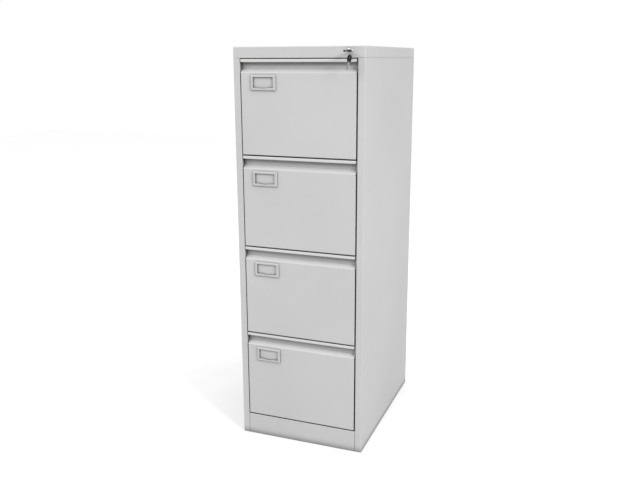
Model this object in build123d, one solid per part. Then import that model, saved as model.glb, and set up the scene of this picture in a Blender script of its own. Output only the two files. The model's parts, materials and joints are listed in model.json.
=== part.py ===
from build123d import *

import os

# Four-drawer steel filing cabinet, in millimetres, with one STEP file for each separate piece.
#
# +Z is up, the drawers face -Y, and +X is on the right of a person who faces them. The origin is on
# the floor, at the centre of the cabinet's footprint. Drawers are numbered from the top. Every
# drawer is shut, the lock is open and its key is in it.

# ---------------------------------------------------------------- driving dimensions

# Case
width = 450.0
depth = 620.0
height = 1370.0
cap_height = 35.0
cap_fold = 3.0
plinth_height = 76.0
stile_width = 23.0
sheet = 1.0
fold = 1.0
heavy_sheet = 1.2
seam = 1.3
seam_depth = 0.8
joint_gap = 0.3
rear_flange = 20.0
joining_flange = 7.0
top_flange_setback = 40.0
base_flange = 30.0
base_wall = 40.0
base_corner = 3.0
rivet_radius = 1.6
rivet_head_radius = 3.2
rivet_head_height = 1.0
rivet_head_rounding = 0.8
rivet_rows = 6
rivet_margin = 60.0

# Drawer fronts
drawer_count = 4
drawer_gap = 3.8
front_left_gap = 2.6
front_right_gap = 4.4
front_thickness = 20.0
face_fold = 2.0
recess_depth = 15.0
recess_wall_height = 29.3
face_drop = 43.7
face_overlap = 6.0

# Grip strip over the turned-down edge of each drawer front
lip_height = 10.5
lip_wall = 1.5
lip_slot = 2.0
lip_slot_gap = 0.5
lip_heel = 2.0
lip_heel_height = 4.0
lip_reach = 7.0
lip_rounding = 2.8
lip_corner = 5.0

# Card holder on each drawer front
holder_width = 89.0
holder_height = 50.0
holder_thickness = 4.6
holder_bevel = 2.4
holder_side = 35.9
holder_drop = 49.8
holder_band = 9.0
holder_top_band = 7.0
window_corner = 1.5
thumb_radius = 60.0
thumb_depth = 2.2
card_gap = 0.8

# Drawer bodies and runners
tray_half_width = 190.3
tray_length = 556.0
tray_lift = 14.0
tray_drop = 37.0
rail_flange = 12.0
rail_lip = 8.0
rear_wall_fold = 15.0
liner_depth = 12.0
liner_fold = 1.5
runner_length = 548.0
runner_lift = 75.0
runner_front_gap = 4.0
inner_runner_gap = 1.0
divider_height = 16.0
divider_setback = 38.0
divider_depth = 18.0
upright_width = 40.0
front_upright_setback = 60.0
rear_upright_setback = 510.0

# Lock, lock bar and keys
lock_x = 175.5
lock_z = 1354.0
collar_radius = 8.6
collar_thickness = 3.0
collar_rounding = 2.2
barrel_radius = 7.4
barrel_depth = 16.0
plug_radius = 5.6
plug_proud = 3.5
plug_depth = 19.0
running_gap = 0.05
nut_radius = 11.0
nut_thickness = 4.0
crank_radius = 8.0
crank_plate = 2.5
crank_pin_radius = 2.0
bar_setback = 26.0
bar_thickness = 2.5
bar_width = 11.0
bar_inner_x = 205.0
bar_tail = 20.0
arm_half_height = 6.0
arm_reach = 9.0
arm_slot_play = 0.5
finger_height = 8.0
finger_gap = 2.7
guide_height = 20.0
guide_wall = 4.0
guide_gap = 0.4
guide_rise = 50.0
guided_drawers = (1, 2, 4)
catch_lift = 200.0
catch_clearance = 2.0
catch_height = 24.0
catch_plate = 2.0
catch_width = 6.0
catch_reach = 14.0

# Key and ring
key_reach = 35.0
key_head_length = 22.0
key_head_width = 24.0
key_head_corner = 8.0
key_thickness = 5.0
key_head_rounding = 1.2
blade_width = 7.6
blade_thickness = 2.0
blade_depth = 12.0
blade_buried = 5.5
blade_tip = 2.0
keyway_gap = 0.2
notch_pitch = 3.2
notch_width = 1.2
notch_depths = (1.1, 0.6, 1.4, 0.9)
ring_hole_radius = 6.6
ring_web = 2.6
ring_side = 1.5
ring_setback = 1.8
ring_lean = 34.0
ring_drop = 6.9
ring_radius = 11.0
ring_wire_radius = 0.6

# ---------------------------------------------------------------- positions that follow from them

half_width = width / 2
front_y = -depth / 2
back_y = depth / 2
cap_bottom = height - cap_height
rivet_pitch = (cap_bottom - 2 * rivet_margin) / (rivet_rows - 1)
opening_half_width = half_width - stile_width
front_x = (front_left_gap - opening_half_width, opening_half_width - front_right_gap)
front_back_y = front_y + front_thickness
drawer_heights = cap_bottom - plinth_height - (drawer_count + 1) * drawer_gap
front_height = drawer_heights / drawer_count
lock_lift = crank_radius * 2 ** 0.5
bar_front_y = front_y + bar_setback
bar_back_y = bar_front_y + bar_thickness
bar_x = (bar_inner_x, bar_inner_x + bar_width)
crank_pin_x = lock_x + lock_lift / 2
crank_pin_z = lock_z - lock_lift / 2
key_head_front = front_y - key_reach
key_head_back = key_head_front + key_head_length


def front_bottom(number):
    """Height of the lower edge of a drawer's front."""
    from_the_top = number * (drawer_gap + front_height)
    return cap_bottom - from_the_top


# ---------------------------------------------------------------- shaping helpers


def block(x, y, z):
    """A box from its (low, high) limits along each axis."""
    size = Box(x[1] - x[0], y[1] - y[0], z[1] - z[0])
    return Pos((x[0] + x[1]) / 2, (y[0] + y[1]) / 2, (z[0] + z[1]) / 2) * size


def rounded_block(x, y, z, radius):
    """A box with all its edges rounded."""
    shape = block(x, y, z)
    return fillet(shape.edges(), radius)


def along_x(face, start, end):
    """Extrude a face drawn in (Y, Z) between two places on the X axis."""
    plane = Plane(origin=(start, 0, 0), x_dir=(0, 1, 0), z_dir=(1, 0, 0))
    return extrude(plane * face, amount=end - start)


def along_y(face, start, end):
    """Extrude a face drawn in (X, Z) between two places on the Y axis."""
    plane = Plane(origin=(0, end, 0), x_dir=(1, 0, 0), z_dir=(0, -1, 0))
    return extrude(plane * face, amount=end - start)


def along_z(face, start, end):
    """Extrude a face drawn in (X, Y) between two heights."""
    return extrude(Plane.XY.offset(start) * face, amount=end - start)


def rod(radius, x, z, start, end):
    """A round bar that lies along the Y axis."""
    return along_y(Pos(x, z) * Circle(radius), start, end)


def polygon(*points):
    """A face with straight sides."""
    return make_face(Polyline(*points, close=True))


def folded(points, thickness=sheet, inside=fold):
    """A folded strip of sheet: it follows the points, and its thickness is on their left."""
    near = [Vector(*point) for point in points]
    runs = [(end - start).normalized() for start, end in zip(near, near[1:])]
    lefts = [Vector(-run.Y, run.X) for run in runs]
    far = [near[0] + lefts[0] * thickness]
    near_radii = []
    far_radii = []
    for corner, before, after in zip(near[1:], lefts, lefts[1:]):
        far.append(corner + (before + after) * (thickness / (1 + before.dot(after))))
        turns_left = before.cross(after).Z > 0
        near_radii.append(inside + thickness if turns_left else inside)
        far_radii.append(inside if turns_left else inside + thickness)
    far.append(near[-1] + lefts[-1] * thickness)
    near_side = FilletPolyline(*near, radius=near_radii)
    far_side = FilletPolyline(*far, radius=far_radii)
    ends = [Line(near[0], far[0]), Line(near[-1], far[-1])]
    return make_face([*near_side.edges(), *far_side.edges(), *ends])


def pan(x, y, z, open_side, radius=face_fold, wall=sheet):
    """A shallow box of sheet with rounded folds and one open side, such as '+Y'."""
    limits = {"X": list(x), "Y": list(y), "Z": list(z)}
    hollow = {name: [low + wall, high - wall] for name, (low, high) in limits.items()}
    axis = open_side[1]
    spare = 4 * radius
    if open_side[0] == "+":
        limits[axis][1] += spare
        hollow[axis][1] += wall + spare
    else:
        limits[axis][0] -= spare
        hollow[axis][0] -= wall + spare
    outside = rounded_block(limits["X"], limits["Y"], limits["Z"], radius)
    inside = rounded_block(hollow["X"], hollow["Y"], hollow["Z"], radius - wall)
    return (outside & block(x, y, z)) - inside


def both_sides(right):
    """The piece for the right-hand side and its mirror image, as one group."""
    return [right, mirror(right, about=Plane.YZ)]


# ---------------------------------------------------------------- case


def side_panel():
    """The right-hand side: outer wall, front stile with its return, rear flange and top flange."""
    wall_top = cap_bottom - seam
    section = folded([
        (opening_half_width, front_back_y),
        (opening_half_width, front_y),
        (half_width, front_y),
        (half_width, back_y - sheet),
        (half_width - rear_flange, back_y - sheet),
    ])
    wall = along_z(section, 0, wall_top)
    flange_x = (half_width - sheet - joining_flange, half_width - sheet)
    flange_y = (front_y + top_flange_setback, back_y - top_flange_setback)
    top_flange = block(flange_x, flange_y, (wall_top - sheet, wall_top))
    return wall + top_flange - rivet_holes()


rivet_places = [
    (side * (half_width - rear_flange / 2), rivet_margin + row * rivet_pitch)
    for side in (-1, 1)
    for row in range(rivet_rows)
]


def rivet_holes():
    """The holes for all the rivets, through the back panel and the flanges under it."""
    hole_radius = rivet_radius + running_gap
    return [rod(hole_radius, x, z, back_y - 3 * sheet, back_y + sheet) for x, z in rivet_places]


def back_panel():
    """A flat sheet over the rear flanges of the side panels."""
    reach = half_width - joint_gap
    panel = block((-reach, reach), (back_y - sheet, back_y), (0, cap_bottom - seam))
    return panel - rivet_holes()


def back_rivets():
    """Pop rivets that hold the back panel."""
    rivets = []
    for x, z in rivet_places:
        head = rod(rivet_head_radius, x, z, back_y, back_y + rivet_head_height)
        head = fillet(head.faces().sort_by(Axis.Y)[-1].edges(), rivet_head_rounding)
        shank = rod(rivet_radius, x, z, back_y - 3 * sheet, back_y)
        rivets.append(head + shank)
    return rivets


def top_cap():
    """The lid: a pan turned over, with a narrow flange inside its lower edge and the lock's hole."""
    lid = pan((-half_width, half_width), (front_y, back_y), (cap_bottom, height), "-Z", cap_fold)
    reach = half_width - seam_depth
    ring_z = (cap_bottom - seam, cap_bottom + sheet)
    ring = block((-reach, reach), (front_y + seam_depth, back_y - seam_depth), ring_z)
    inset = sheet + joining_flange
    hole = block(
        (inset - half_width, half_width - inset),
        (front_y + inset, back_y - inset),
        (ring_z[0] - sheet, ring_z[1] + sheet),
    )
    lock_hole = rod(barrel_radius + running_gap, lock_x, lock_z, front_y - sheet, front_y + 2 * sheet)
    return lid + (ring - hole) - lock_hole


def base_frame():
    """The ring that the cabinet stands on: a flange on the floor and a low wall."""
    x = half_width - sheet
    y = (front_back_y, back_y - 2 * sheet)
    outside = block((-x, x), y, (0, base_wall))
    outside = fillet(outside.edges().filter_by(Axis.Z), base_corner)
    inside = block(
        (heavy_sheet - x, x - heavy_sheet),
        (y[0] + heavy_sheet, y[1] - heavy_sheet),
        (heavy_sheet, base_wall),
    )
    opening = block(
        (base_flange - x, x - base_flange),
        (y[0] + base_flange, y[1] - base_flange),
        (0, heavy_sheet),
    )
    return outside - inside - opening


def plinth():
    """The plain panel under the bottom drawer, between the stiles."""
    reach = opening_half_width - joint_gap
    return pan((-reach, reach), (front_y, front_back_y), (0, plinth_height), "+Y")


def uprights(setback):
    """A pair of vertical channels that carry the runners, one on each side panel."""
    outer_x = half_width - sheet
    web_x = opening_half_width + sheet
    y = front_y + setback
    section = folded([
        (outer_x, y + upright_width),
        (web_x, y + upright_width),
        (web_x, y),
        (outer_x, y),
    ], heavy_sheet)
    return both_sides(along_z(section, base_wall, cap_bottom - seam - sheet))


def divider_rails():
    """Cross rails between the drawers, set back behind the drawer fronts."""
    reach = half_width - sheet
    front = front_y + divider_setback
    rails = []
    for number in range(1, drawer_count):
        middle = front_bottom(number) - drawer_gap / 2
        low = middle - divider_height / 2
        high = middle + divider_height / 2
        section = folded([
            (front + divider_depth, high),
            (front, high),
            (front, low),
            (front + divider_depth, low),
        ], heavy_sheet)
        rails.append(along_x(section, -reach, reach))
    return rails


# ---------------------------------------------------------------- runners


outer_member = {"tips_x": 192.0, "web_x": opening_half_width + sheet, "half_height": 22.5}
middle_member = {"tips_x": 192.5, "web_x": 201.3, "half_height": 19.0}
inner_member = {"tips_x": 199.2, "web_x": tray_half_width, "half_height": 15.5}


def runner_member(tips_x, web_x, half_height, number, start):
    """One channel of a telescopic runner: a web, and two flanges that reach to tips_x."""
    middle = front_bottom(number) + runner_lift
    rise = half_height if web_x > tips_x else -half_height
    section = folded([
        (tips_x, middle - rise),
        (web_x, middle - rise),
        (web_x, middle + rise),
        (tips_x, middle + rise),
    ], heavy_sheet)
    return along_y(section, start, start + runner_length)


def outer_runners():
    """The fixed members on the right-hand side, one for each drawer."""
    start = front_back_y + runner_front_gap
    return [
        runner_member(**outer_member, number=number, start=start)
        for number in range(1, drawer_count + 1)
    ]


def middle_runners(number):
    """The members that travel half as far as the drawer."""
    start = front_back_y + runner_front_gap
    return both_sides(runner_member(**middle_member, number=number, start=start))


def inner_runners(number):
    """The members fixed to the sides of the drawer's tray."""
    start = front_back_y + inner_runner_gap
    return both_sides(runner_member(**inner_member, number=number, start=start))


# ---------------------------------------------------------------- drawers


def drawer_front(number):
    """The painted front: a folded pan with a full-width finger recess under a turned-down lip."""
    low = front_bottom(number)
    top = low + front_height
    sheet_top = top - sheet
    recess_y = front_y + recess_depth
    face_top = top - face_drop
    slope_top = top - recess_wall_height
    lip_y = front_y + lip_wall + sheet
    lip_bottom = top - lip_height + lip_wall + lip_slot_gap
    body = pan(
        front_x,
        (front_y, front_back_y),
        (low, sheet_top),
        "+Y",
    )
    in_front = front_y - 2 * sheet
    cleared = polygon(
        (in_front, face_top - face_overlap / 2),
        (front_y + face_fold, face_top - face_overlap / 2),
        (recess_y, slope_top),
        (recess_y, sheet_top + sheet),
        (in_front, sheet_top + sheet),
    )
    recess = folded([
        (lip_y, lip_bottom),
        (lip_y, sheet_top - sheet),
        (recess_y, sheet_top - sheet),
        (recess_y, slope_top),
        (front_y, face_top),
        (front_y, face_top - face_overlap),
    ])
    body -= along_x(cleared, *front_x)
    flat_x = (front_x[0] + face_fold, front_x[1] - face_fold)
    upper = block(front_x, (in_front, front_back_y), (face_top, top))
    face_part = block(flat_x, (in_front, front_back_y), (low, face_top))
    return body + (along_x(recess, *front_x) & (upper + face_part))


def front_liner(number):
    """The inner sheet that closes the back of the front."""
    low = front_bottom(number)
    return pan(
        (front_x[0] + sheet, front_x[1] - sheet),
        (front_back_y - sheet - liner_depth, front_back_y),
        (low + sheet, low + front_height - face_drop - sheet),
        "-Y",
        liner_fold,
    )


def grip_lip(number):
    """The rounded strip over the turned-down edge above the finger recess."""
    top = front_bottom(number) + front_height
    bottom = top - lip_height
    slot_front = front_y + lip_wall
    slot_back = slot_front + lip_slot
    heel_back = slot_back + lip_heel
    cover_back = front_y + lip_reach
    section = polygon(
        (front_y, bottom),
        (front_y, top),
        (cover_back, top),
        (cover_back, top - sheet),
        (slot_front, top - sheet),
        (slot_front, bottom + lip_wall),
        (slot_back, bottom + lip_wall),
        (slot_back, bottom + lip_heel_height),
        (heel_back, bottom + lip_heel_height),
        (heel_back, bottom),
    )
    front_corners = section.vertices().group_by(Axis.X)[0]
    section = fillet(front_corners, lip_rounding)
    strip = along_x(section, *front_x)
    centre = Pos((front_x[0] + front_x[1]) / 2, (top + bottom) / 2)
    silhouette = centre * Rectangle(front_x[1] - front_x[0], lip_height)
    low_corners = silhouette.vertices().group_by(Axis.Y)[0]
    silhouette = fillet(low_corners, lip_corner)
    return strip & along_y(silhouette, front_y - sheet, cover_back + sheet)


def card_holder(number):
    """The raised frame that a paper card slides behind, open in the middle and at its right end."""
    top = front_bottom(number) + front_height - holder_drop
    bottom = top - holder_height
    left = front_x[0] + holder_side
    centre_x = left + holder_width / 2
    centre_z = (top + bottom) / 2
    plate_face = Pos(centre_x, centre_z) * Rectangle(holder_width, holder_height)
    plate = along_y(plate_face, front_y - holder_thickness, front_y)
    outer_edges = plate.faces().sort_by(Axis.Y)[0].edges()
    plate = chamfer(outer_edges, holder_bevel)
    window_width = holder_width - 2 * holder_band
    window_bottom = bottom + holder_band
    window_top = top - holder_top_band
    window_centre = (window_bottom + window_top) / 2
    window_size = RectangleRounded(window_width, window_top - window_bottom, window_corner)
    thumb_z = window_bottom - thumb_depth + thumb_radius
    thumb_face = Pos(centre_x, thumb_z) * Circle(thumb_radius)
    below_window = Pos(centre_x, window_bottom) * Rectangle(window_width, 4 * thumb_depth)
    opening = Pos(centre_x, window_centre) * window_size + (thumb_face & below_window)
    card_space = block(
        (left + holder_band / 2, left + holder_width),
        (front_y - card_gap, front_y),
        (bottom + holder_band / 2, top - holder_top_band / 2),
    )
    return plate - along_y(opening, front_y - holder_thickness, front_y) - card_space


def drawer_tray(number):
    """The bottom and sides of the drawer, with turned-in upper edges that hanging files hook on."""
    low = front_bottom(number) + tray_lift
    high = front_bottom(number) + front_height - tray_drop
    side = tray_half_width
    hook = side - rail_flange
    section = folded([
        (-hook, high - rail_lip),
        (-hook, high),
        (-side, high),
        (-side, low),
        (side, low),
        (side, high),
        (hook, high),
        (hook, high - rail_lip),
    ])
    return along_y(section, front_back_y, front_back_y + tray_length)


def drawer_back(number):
    """The rear wall of the drawer, between the sides of the tray."""
    low = front_bottom(number) + tray_lift + sheet
    high = front_bottom(number) + front_height - tray_drop - rail_lip - 2 * sheet
    reach = tray_half_width - sheet
    rear = front_back_y + tray_length
    return pan((-reach, reach), (rear - rear_wall_fold, rear), (low, high), "+Y")


# ---------------------------------------------------------------- lock


def lock_housing():
    """The fixed barrel, with a bright collar in front of the cap."""
    barrel_end = front_y + barrel_depth
    collar = rod(collar_radius, lock_x, lock_z, front_y - collar_thickness, front_y)
    rim = collar.faces().sort_by(Axis.Y)[0].edges()
    collar = fillet(rim, collar_rounding)
    barrel = rod(barrel_radius, lock_x, lock_z, front_y, barrel_end)
    bore_radius = plug_radius + running_gap
    bore = rod(bore_radius, lock_x, lock_z, front_y - collar_thickness, barrel_end)
    return collar + barrel - bore


def lock_nut():
    """The hexagonal nut behind the cap's front."""
    face = RegularPolygon(nut_radius, 6) - Circle(barrel_radius + running_gap)
    return along_y(Pos(lock_x, lock_z) * face, front_y + sheet, front_y + sheet + nut_thickness)


def lock_plug():
    """The turning core, with a flat keyway."""
    start = front_y - plug_proud
    plug = rod(plug_radius, lock_x, lock_z, start, front_y + plug_depth)
    half_slot = blade_width / 2 + keyway_gap
    half_gap = blade_thickness / 2 + keyway_gap
    keyway = block(
        (lock_x - half_slot, lock_x + half_slot),
        (start, front_y + blade_depth + keyway_gap),
        (lock_z - half_gap, lock_z + half_gap),
    )
    return plug - keyway


def lock_cam():
    """The crank on the rear of the plug; its pin lifts the lock bar."""
    plate_start = front_y + plug_depth
    plate_end = plate_start + crank_plate
    hub = rod(plug_radius + sheet, lock_x, lock_z, plate_start, plate_end)
    boss = rod(2 * crank_pin_radius, crank_pin_x, crank_pin_z, plate_start, plate_end)
    pin = rod(crank_pin_radius, crank_pin_x, crank_pin_z, plate_end, bar_back_y + sheet)
    return hub + boss + pin


def lock_bar():
    """The flat bar behind the right-hand stile, which slides up and down."""
    bottom = front_bottom(drawer_count) + catch_lift - bar_tail
    return block(bar_x, (bar_front_y, bar_back_y), (bottom, crank_pin_z + arm_half_height))


def lock_bar_arm():
    """The slotted arm at the top of the lock bar, which the crank's pin works in."""
    arm = block(
        (crank_pin_x - arm_reach, bar_inner_x),
        (bar_front_y, bar_back_y),
        (crank_pin_z - arm_half_height, crank_pin_z + arm_half_height),
    )
    slot_height = 2 * (crank_pin_radius + arm_slot_play)
    slot_travel = crank_radius - lock_lift / 2
    slot_size = SlotOverall(slot_travel + slot_height + 2 * arm_slot_play, slot_height)
    slot_face = Pos(crank_pin_x + slot_travel / 2, crank_pin_z) * slot_size
    return arm - along_y(slot_face, bar_front_y, bar_back_y)


def lock_bar_fingers():
    """The short tabs welded to the lock bar, one for each drawer."""
    finger_x = (tray_half_width + finger_gap, bar_inner_x)
    fingers = []
    for number in range(1, drawer_count + 1):
        top = front_bottom(number) + catch_lift
        fingers.append(block(finger_x, (bar_front_y, bar_back_y), (top - finger_height, top)))
    return fingers


def lock_bar_guides():
    """Blocks on the right-hand side panel that the lock bar slides in."""
    guides = []
    for number in guided_drawers:
        middle = front_bottom(number) + catch_lift + guide_rise
        z = (middle - guide_height / 2, middle + guide_height / 2)
        body = block(
            (opening_half_width + sheet, half_width - sheet),
            (bar_front_y - guide_wall, bar_back_y + guide_wall),
            z,
        )
        slot = block(
            (bar_x[0] - guide_gap, bar_x[1] + guide_gap),
            (bar_front_y - guide_gap, bar_back_y + guide_gap),
            z,
        )
        guides.append(body - slot)
    return guides


def lock_catch(number):
    """The hook on the back of a drawer front that a raised finger of the lock bar stops."""
    low = front_bottom(number) + catch_lift + catch_clearance
    z = (low, low + catch_height)
    inner_x = tray_half_width + sheet
    outer_x = inner_x + catch_width
    rear = bar_back_y + catch_reach
    hook = block((outer_x - catch_plate, outer_x), (front_back_y, rear), z)
    foot = block((inner_x, outer_x), (front_back_y, front_back_y + catch_plate), z)
    notch = block(
        (outer_x - 2 * catch_plate, outer_x + catch_plate),
        (bar_front_y - catch_clearance, bar_back_y + catch_clearance),
        (low - sheet, low + lock_lift + catch_clearance),
    )
    return hook + foot - notch


# ---------------------------------------------------------------- key and ring


def key_blade():
    """The steel blade, in the keyway and inside the head, with the cuts on one edge."""
    rear_tip = front_y + blade_depth
    edge_x = lock_x + blade_width / 2
    blade = block(
        (edge_x - blade_width, edge_x),
        (key_head_back - blade_buried, rear_tip),
        (lock_z - blade_thickness / 2, lock_z + blade_thickness / 2),
    )
    tip_edges = blade.edges().filter_by(Axis.Z).sort_by(Axis.Y)[-2:]
    blade = chamfer(tip_edges, blade_tip)
    for place, depth in enumerate(notch_depths):
        middle = rear_tip - blade_tip - notch_pitch * (place + 1)
        cut = polygon(
            (edge_x, middle - notch_width),
            (edge_x - depth, middle - notch_width / 2),
            (edge_x - depth, middle + notch_width / 2),
            (edge_x, middle + notch_width),
        )
        blade -= along_z(cut, lock_z - blade_thickness, lock_z + blade_thickness)
    return blade


def key_head():
    """The moulded head of the key, with the hole for the ring and the space that the blade fills."""
    middle = (key_head_front + key_head_back) / 2
    outline = Pos(lock_x, middle) * RectangleRounded(key_head_width, key_head_length, key_head_corner)
    hole = Pos(lock_x, key_head_front + ring_web + ring_hole_radius) * Circle(ring_hole_radius)
    plate = along_z(outline, lock_z - key_thickness / 2, lock_z + key_thickness / 2)
    rims = plate.faces().sort_by(Axis.Z)[0].edges() + plate.faces().sort_by(Axis.Z)[-1].edges()
    plate = fillet(rims, key_head_rounding)
    return plate - along_z(hole, lock_z - key_thickness, lock_z + key_thickness) - key_blade()


def key_ring():
    """The wire ring, which hangs from the front of the key's head and leans to the right."""
    ring = Pos(0, 0, -ring_drop) * Rot(0, 90, 0) * Torus(ring_radius, ring_wire_radius)
    ring_y = key_head_front + ring_setback
    return Pos(lock_x + ring_side, ring_y, lock_z) * Rot(0, -ring_lean, 0) * ring


# ---------------------------------------------------------------- all the pieces

right_outer_runners = outer_runners()

pieces = {
    "side_panel_right": side_panel(),
    "side_panel_left": mirror(side_panel(), about=Plane.YZ),
    "back_panel": back_panel(),
    "back_rivets": back_rivets(),
    "top_cap": top_cap(),
    "base_frame": base_frame(),
    "plinth": plinth(),
    "front_uprights": uprights(front_upright_setback),
    "rear_uprights": uprights(rear_upright_setback),
    "divider_rails": divider_rails(),
    "outer_runners_right": right_outer_runners,
    "outer_runners_left": [mirror(member, about=Plane.YZ) for member in right_outer_runners],
    "lock_housing": lock_housing(),
    "lock_nut": lock_nut(),
    "lock_bar_guides": lock_bar_guides(),
    "lock_plug": lock_plug(),
    "lock_cam": lock_cam(),
    "lock_bar": lock_bar(),
    "lock_bar_arm": lock_bar_arm(),
    "lock_bar_fingers": lock_bar_fingers(),
    "key_blade": key_blade(),
    "key_head": key_head(),
    "key_ring": key_ring(),
}

for number in range(1, drawer_count + 1):
    pieces[f"drawer_front_{number}"] = drawer_front(number)
    pieces[f"front_liner_{number}"] = front_liner(number)
    pieces[f"grip_lip_{number}"] = grip_lip(number)
    pieces[f"card_holder_{number}"] = card_holder(number)
    pieces[f"drawer_tray_{number}"] = drawer_tray(number)
    pieces[f"drawer_back_{number}"] = drawer_back(number)
    pieces[f"inner_runners_{number}"] = inner_runners(number)
    pieces[f"middle_runners_{number}"] = middle_runners(number)
    pieces[f"lock_catch_{number}"] = lock_catch(number)

os.makedirs("parts", exist_ok=True)
for name, shape in pieces.items():
    bodies = shape if isinstance(shape, list) else [shape]
    solids = [solid for body in bodies for solid in body.solids()]
    export_step(Compound(children=solids), f"parts/{name}.step")
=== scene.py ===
"""Looks for the steel filing cabinet: materials, floor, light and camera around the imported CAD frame."""

import json
import math

import bpy
from mathutils import Matrix, Vector


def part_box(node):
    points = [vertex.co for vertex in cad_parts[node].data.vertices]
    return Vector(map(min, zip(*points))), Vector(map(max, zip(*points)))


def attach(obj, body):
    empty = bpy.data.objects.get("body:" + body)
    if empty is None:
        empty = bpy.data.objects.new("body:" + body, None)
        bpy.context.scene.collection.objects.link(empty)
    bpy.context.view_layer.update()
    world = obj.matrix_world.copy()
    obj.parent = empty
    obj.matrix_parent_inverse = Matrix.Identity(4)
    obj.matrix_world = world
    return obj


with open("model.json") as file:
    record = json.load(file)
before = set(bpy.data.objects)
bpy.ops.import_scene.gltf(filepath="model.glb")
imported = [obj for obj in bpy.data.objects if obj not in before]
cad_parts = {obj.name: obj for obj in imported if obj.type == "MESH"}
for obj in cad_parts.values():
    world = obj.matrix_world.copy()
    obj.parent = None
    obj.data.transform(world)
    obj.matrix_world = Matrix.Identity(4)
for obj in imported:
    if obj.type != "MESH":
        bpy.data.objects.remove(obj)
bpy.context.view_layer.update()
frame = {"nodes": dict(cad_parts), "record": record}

# Lengths are in metres, angles in radians and powers in watts, unless a name says otherwise.

# ---------------------------------------------------------------- camera

camera_place = Vector((0.91024, -2.50415, 1.33065))
camera_turn = 0.36352
camera_tilt = 0.24252
camera_roll = -0.0030
camera_lens_mm = 41.18
sensor_width_mm = 36.0
view_distance = 100.0


def add_camera():
    """The camera stands to the right of the cabinet, at the height of the lock, and looks slightly down."""
    camera = bpy.data.objects.new("camera", bpy.data.cameras.new("camera"))
    bpy.context.scene.collection.objects.link(camera)
    camera.data.sensor_width = sensor_width_mm
    camera.data.lens = camera_lens_mm
    camera.data.clip_end = view_distance
    turn = Matrix.Rotation(camera_turn, 4, "Z")
    tilt = Matrix.Rotation(math.pi / 2 - camera_tilt, 4, "X")
    roll = Matrix.Rotation(camera_roll, 4, "Z")
    camera.matrix_world = Matrix.Translation(camera_place) @ turn @ tilt @ roll
    bpy.context.scene.camera = camera


# ---------------------------------------------------------------- shader helpers

# The Mix node's colour sockets go by number, because its other sockets have the same names.
mix_first = 6
mix_second = 7
mix_result = 2

edge_rays = 4
openness_rays = 6
sharp_edge_match = 0.8
flat_face_match = 0.99


def shade(colour, factor):
    """A colour made darker or lighter, and held at white."""
    return tuple(min(1.0, factor * channel) for channel in colour)


class Shader:
    """A material's node tree, with short ways to add and join nodes."""

    def __init__(self, name):
        self.material = bpy.data.materials.new(name)
        self.material.use_nodes = True
        self.tree = self.material.node_tree
        self.surface = self.tree.nodes["Principled BSDF"]
        self.place = self.tree.nodes.new("ShaderNodeTexCoord").outputs["Object"]

    def add(self, kind, **settings):
        """A new node with the given settings."""
        node = self.tree.nodes.new(kind)
        for setting, value in settings.items():
            setattr(node, setting, value)
        return node

    def join(self, source, socket):
        """A link from one node's output to another node's input."""
        self.tree.links.new(source, socket)

    def stretched(self, scale):
        """The object's coordinates in metres, scaled along each axis."""
        mapping = self.add("ShaderNodeMapping")
        self.join(self.place, mapping.inputs["Vector"])
        mapping.inputs["Scale"].default_value = scale
        return mapping.outputs["Vector"]

    def noise(self, scale, detail, coordinates=None):
        """Fractal noise from about 0 to 1; scale counts its features in a metre."""
        node = self.add("ShaderNodeTexNoise")
        node.inputs["Scale"].default_value = scale
        node.inputs["Detail"].default_value = detail
        self.join(coordinates or self.place, node.inputs["Vector"])
        return node.outputs["Fac"]

    def between(self, value, low, high, from_low=0.3, from_high=0.7):
        """A value moved from one range to another, and held inside it."""
        node = self.add("ShaderNodeMapRange")
        node.inputs["From Min"].default_value = from_low
        node.inputs["From Max"].default_value = from_high
        node.inputs["To Min"].default_value = low
        node.inputs["To Max"].default_value = high
        self.join(value, node.inputs["Value"])
        return node.outputs["Result"]

    def maths(self, operation, first, second):
        """Arithmetic on two values."""
        node = self.add("ShaderNodeMath", operation=operation)
        self.join(first, node.inputs[0])
        self.join(second, node.inputs[1])
        return node.outputs["Value"]

    def blend(self, amount, first, second):
        """One colour over another; each is a socket or a colour."""
        node = self.add("ShaderNodeMix", data_type="RGBA")
        self.join(amount, node.inputs["Factor"])
        for number, value in ((mix_first, first), (mix_second, second)):
            if isinstance(value, tuple):
                node.inputs[number].default_value = (*value, 1.0)
            else:
                self.join(value, node.inputs[number])
        return node.outputs[mix_result]

    def edges(self, width):
        """About 1 along the sharp edges of the shape, and 0 on its faces."""
        bevel = self.add("ShaderNodeBevel", samples=edge_rays)
        bevel.inputs["Radius"].default_value = width
        dot = self.add("ShaderNodeVectorMath", operation="DOT_PRODUCT")
        self.join(bevel.outputs["Normal"], dot.inputs[0])
        self.join(self.add("ShaderNodeNewGeometry").outputs["Normal"], dot.inputs[1])
        return self.between(dot.outputs["Value"], 1.0, 0.0, sharp_edge_match, flat_face_match)

    def openness(self, reach):
        """1 on open faces, and less the deeper a place lies in a gap or a recess."""
        node = self.add("ShaderNodeAmbientOcclusion", samples=openness_rays)
        node.inputs["Distance"].default_value = reach
        return node.outputs["AO"]

    def bump(self, height, distance, strength):
        """Surface relief; the distance is how far a height of 1 stands out."""
        node = self.add("ShaderNodeBump")
        node.inputs["Strength"].default_value = strength
        node.inputs["Distance"].default_value = distance
        self.join(height, node.inputs["Height"])
        self.join(node.outputs["Normal"], self.surface.inputs["Normal"])


# ---------------------------------------------------------------- materials


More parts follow.
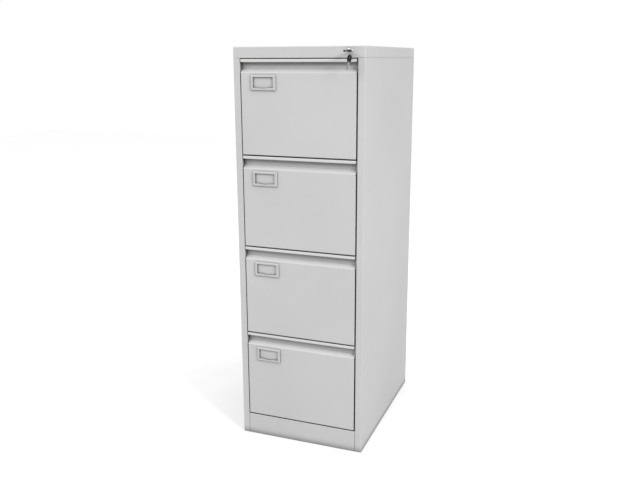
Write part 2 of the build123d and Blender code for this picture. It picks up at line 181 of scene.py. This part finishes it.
def painted_steel(name, colour, roughness):
    """Powder coat: a fine orange peel, faint cloudiness, painted shade in corners, gaps and recesses, and
    paler edges that are partly wear from rubbing and partly painted highlight.
    """
    paint = Shader(name)
    cloud = paint.noise(scale=3.0, detail=3.0)
    scuff = paint.noise(scale=38.0, detail=4.0)
    peel = paint.noise(scale=900.0, detail=1.0)
    darker = shade(colour, 0.965)
    lighter = shade(colour, 1.02)
    # Paler edge colour: partly wear from rubbing and partly a painted highlight where the rounded edges
    # would catch the light.
    worn_and_highlit = shade(colour, 1.3)
    # A much darker copy of the paint, used only as painted shade in corners, gaps and recesses.
    painted_crevice_shade = shade(colour, 0.24)
    body = paint.blend(paint.between(cloud, low=0.0, high=1.0), darker, lighter)
    # Painted shade: where the ambient-occlusion node finds nearby surfaces, the colour is blended towards
    # the darker copy.
    unshaded_face = paint.between(paint.openness(reach=0.03), low=0.0, high=1.0, from_low=0.4, from_high=0.9)
    body = paint.blend(unshaded_face, painted_crevice_shade, body)
    # The paler edges follow the bevel mask and are broken up by scuff noise; they stand partly for wear and
    # partly for painted highlight.
    paler_edge = paint.maths("MULTIPLY", paint.edges(width=0.0016), paint.between(scuff, low=0.45, high=0.9))
    paint.join(paint.blend(paler_edge, body, worn_and_highlit), paint.surface.inputs["Base Color"])
    mixed = paint.maths("ADD", cloud, scuff)
    shine = paint.between(mixed, roughness - 0.05, roughness + 0.06, from_low=0.7, from_high=1.3)
    paint.join(shine, paint.surface.inputs["Roughness"])
    paint.bump(peel, distance=0.00004, strength=0.35)
    return paint.material


def zinc_plate(name, colour, roughness):
    """Bright zinc on rolled steel: streaks along the runners and a faint warm bloom."""
    zinc = Shader(name)
    along_runner = zinc.stretched((500.0, 6.0, 500.0))
    streaks = zinc.noise(scale=1.0, detail=3.0, coordinates=along_runner)
    bloom = zinc.noise(scale=14.0, detail=3.0)
    warm = (colour[0], 0.97 * colour[1], 0.88 * colour[2])
    cool = (0.93 * colour[0], 0.97 * colour[1], colour[2])
    tint = zinc.blend(zinc.between(bloom, low=0.0, high=1.0), warm, cool)
    zinc.join(tint, zinc.surface.inputs["Base Color"])
    zinc.join(zinc.between(streaks, roughness - 0.08, roughness + 0.1), zinc.surface.inputs["Roughness"])
    zinc.surface.inputs["Metallic"].default_value = 1.0
    zinc.bump(streaks, distance=0.00002, strength=0.5)
    return zinc.material


def polished_metal(name, colour, roughness):
    """Chrome or nickel plate with fine scratches and finger marks."""
    plate = Shader(name)
    marks = plate.noise(scale=260.0, detail=4.0)
    across_scratches = plate.stretched((5200.0, 300.0, 700.0))
    scratches = plate.noise(scale=1.0, detail=2.0, coordinates=across_scratches)
    tint = plate.blend(plate.between(marks, low=0.0, high=1.0), shade(colour, 0.86), colour)
    plate.join(tint, plate.surface.inputs["Base Color"])
    mixed = plate.maths("ADD", marks, scratches)
    shine = plate.between(mixed, roughness, roughness + 0.12, from_low=0.7, from_high=1.3)
    plate.join(shine, plate.surface.inputs["Roughness"])
    plate.surface.inputs["Metallic"].default_value = 1.0
    plate.bump(scratches, distance=0.00001, strength=0.4)
    return plate.material


def moulded_plastic(name, colour, roughness):
    """Injection-moulded plastic: a fine spark texture and greyer edges from rubbing."""
    plastic = Shader(name)
    spark = plastic.noise(scale=2600.0, detail=1.0)
    handling = plastic.noise(scale=180.0, detail=3.0)
    paler_edge = tuple(channel + 0.05 for channel in colour)
    handled = plastic.between(handling, low=0.1, high=0.8)
    wear = plastic.maths("MULTIPLY", plastic.edges(width=0.0006), handled)
    plastic.join(plastic.blend(wear, colour, paler_edge), plastic.surface.inputs["Base Color"])
    shine = plastic.between(handling, roughness - 0.06, roughness + 0.1)
    plastic.join(shine, plastic.surface.inputs["Roughness"])
    plastic.surface.inputs["Specular IOR Level"].default_value = 0.25
    plastic.bump(spark, distance=0.00002, strength=0.3)
    return plastic.material


def make_materials():
    """One material for each of the record's slots."""
    return {
        "case_paint": painted_steel("case_paint", (0.600, 0.600, 0.600), 0.42),
        "front_paint": painted_steel("front_paint", (0.605, 0.605, 0.605), 0.40),
        # The grip paint is paler than the fronts' paint as a painted highlight: it stands for the brighter
        # light that the rounded grip lip catches.
        "grip_paint": painted_steel("grip_paint", (0.680, 0.680, 0.675), 0.34),
        "holder_paint": painted_steel("holder_paint", (0.560, 0.565, 0.565), 0.36),
        "inner_paint": painted_steel("inner_paint", (0.500, 0.505, 0.505), 0.48),
        "runner_zinc": zinc_plate("runner_zinc", (0.62, 0.63, 0.64), 0.30),
        "lock_chrome": polished_metal("lock_chrome", (0.92, 0.93, 0.94), 0.07),
        "lock_steel": zinc_plate("lock_steel", (0.55, 0.56, 0.57), 0.34),
        "key_nickel": polished_metal("key_nickel", (0.72, 0.70, 0.66), 0.20),
        "key_plastic": moulded_plastic("key_plastic", (0.010, 0.010, 0.011), 0.42),
        "guide_plastic": moulded_plastic("guide_plastic", (0.62, 0.62, 0.58), 0.45),
    }


def paint_cad_nodes(materials):
    """Give each CAD node the material of its slot in the record."""
    for subpart in frame["record"]["subparts"]:
        node = frame["nodes"][subpart["node"]]
        node.data.materials.clear()
        node.data.materials.append(materials[subpart["material_slot"]])


# ---------------------------------------------------------------- spare key

millimetre = 0.001
web_middle = 1.8 * millimetre
wire_clearance = 1.5 * millimetre
spare_lean = math.radians(12.0)
spare_twist = math.radians(-47.0)


def add_spare_key(materials):
    """A second key like the one in the lock, hung blade down on the bottom of the ring."""
    head_low, head_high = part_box("key_head")
    ring_low, ring_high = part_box("key_ring")
    key_web = Vector((
        (head_low[0] + head_high[0]) / 2,
        head_low[1] + web_middle,
        (head_low[2] + head_high[2]) / 2,
    ))
    spare_web = Vector((
        ring_high[0] - wire_clearance / 2,
        (ring_low[1] + ring_high[1]) / 2,
        ring_low[2] + wire_clearance + web_middle / 2,
    ))
    hang = (
        Matrix.Translation(spare_web)
        @ Matrix.Rotation(spare_lean, 4, "Y")
        @ Matrix.Rotation(spare_twist, 4, "Z")
        @ Matrix.Rotation(-math.pi / 2, 4, "X")
        @ Matrix.Translation(-key_web)
    )
    for node, slot in (("key_head", "key_plastic"), ("key_blade", "key_nickel")):
        mesh = frame["nodes"][node].data.copy()
        mesh.transform(hang)
        mesh.materials.clear()
        mesh.materials.append(materials[slot])
        piece = bpy.data.objects.new(f"spare_{node}", mesh)
        bpy.context.scene.collection.objects.link(piece)
        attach(piece, "key_ring")


# ---------------------------------------------------------------- studio

floor_half_size = 9.0
floor_roughness = 0.75
floor_dark = (0.93, 0.93, 0.93)
floor_light = (0.96, 0.96, 0.96)
floor_bounce = (0.45, 0.45, 0.45)
horizon_rise = 0.1
horizon_strength = 0.36
zenith_rise = 0.8
zenith_strength = 1.25
cabinet_middle = (0.0, 0.0, 0.7)


def add_floor():
    """A wide pale floor with a very faint mottle; it bounces less light than it shows."""
    reach = floor_half_size
    corners = [(-reach, -reach, 0), (reach, -reach, 0), (reach, reach, 0), (-reach, reach, 0)]
    mesh = bpy.data.meshes.new("floor")
    mesh.from_pydata(corners, [], [(0, 1, 2, 3)])
    floor = bpy.data.objects.new("floor", mesh)
    bpy.context.scene.collection.objects.link(floor)
    shader = Shader("floor")
    mottle = shader.between(shader.noise(scale=5.0, detail=3.0), low=0.0, high=1.0)
    shown = shader.blend(mottle, floor_dark, floor_light)
    seen = shader.add("ShaderNodeLightPath").outputs["Is Camera Ray"]
    shader.join(shader.blend(seen, floor_bounce, shown), shader.surface.inputs["Base Color"])
    shader.surface.inputs["Roughness"].default_value = floor_roughness
    mesh.materials.append(shader.material)


def add_panel_light(name, place, side, power):
    """A soft square panel light that faces the middle of the cabinet."""
    data = bpy.data.lights.new(name, "AREA")
    data.shape = "RECTANGLE"
    data.size = side
    data.size_y = side
    data.energy = power
    lamp = bpy.data.objects.new(name, data)
    bpy.context.scene.collection.objects.link(lamp)
    turn = (Vector(cabinet_middle) - Vector(place)).to_track_quat("-Z", "Y")
    lamp.matrix_world = Matrix.Translation(place) @ turn.to_matrix().to_4x4()


def add_surround():
    """White to look at, but brighter overhead than at the horizon in the light that it gives."""
    world = bpy.data.worlds.new("studio")
    bpy.context.scene.world = world
    world.use_nodes = True
    nodes = world.node_tree.nodes
    links = world.node_tree.links
    background = nodes["Background"]
    background.inputs["Color"].default_value = (1.0, 1.0, 1.0, 1.0)
    direction = nodes.new("ShaderNodeSeparateXYZ")
    links.new(nodes.new("ShaderNodeTexCoord").outputs["Generated"], direction.inputs["Vector"])
    height = nodes.new("ShaderNodeMapRange")
    height.interpolation_type = "SMOOTHSTEP"
    height.inputs["From Min"].default_value = horizon_rise
    height.inputs["From Max"].default_value = zenith_rise
    height.inputs["To Min"].default_value = horizon_strength
    height.inputs["To Max"].default_value = zenith_strength
    links.new(direction.outputs["Z"], height.inputs["Value"])
    shown = nodes.new("ShaderNodeMix")
    links.new(nodes.new("ShaderNodeLightPath").outputs["Is Camera Ray"], shown.inputs["Factor"])
    links.new(height.outputs["Result"], shown.inputs["A"])
    shown.inputs["B"].default_value = 1.0
    links.new(shown.outputs["Result"], background.inputs["Strength"])


def add_light():
    """Two soft panels, high on the left and on the right, in a white surround."""
    add_surround()
    add_panel_light("left_light", place=(-3.6, -4.2, 4.2), side=1.6, power=72.0)
    add_panel_light("right_light", place=(4.6, -2.8, 3.9), side=1.8, power=186.0)
    bpy.context.scene.view_settings.view_transform = "Standard"


materials = make_materials()
add_camera()
paint_cad_nodes(materials)
add_spare_key(materials)
add_floor()
add_light()
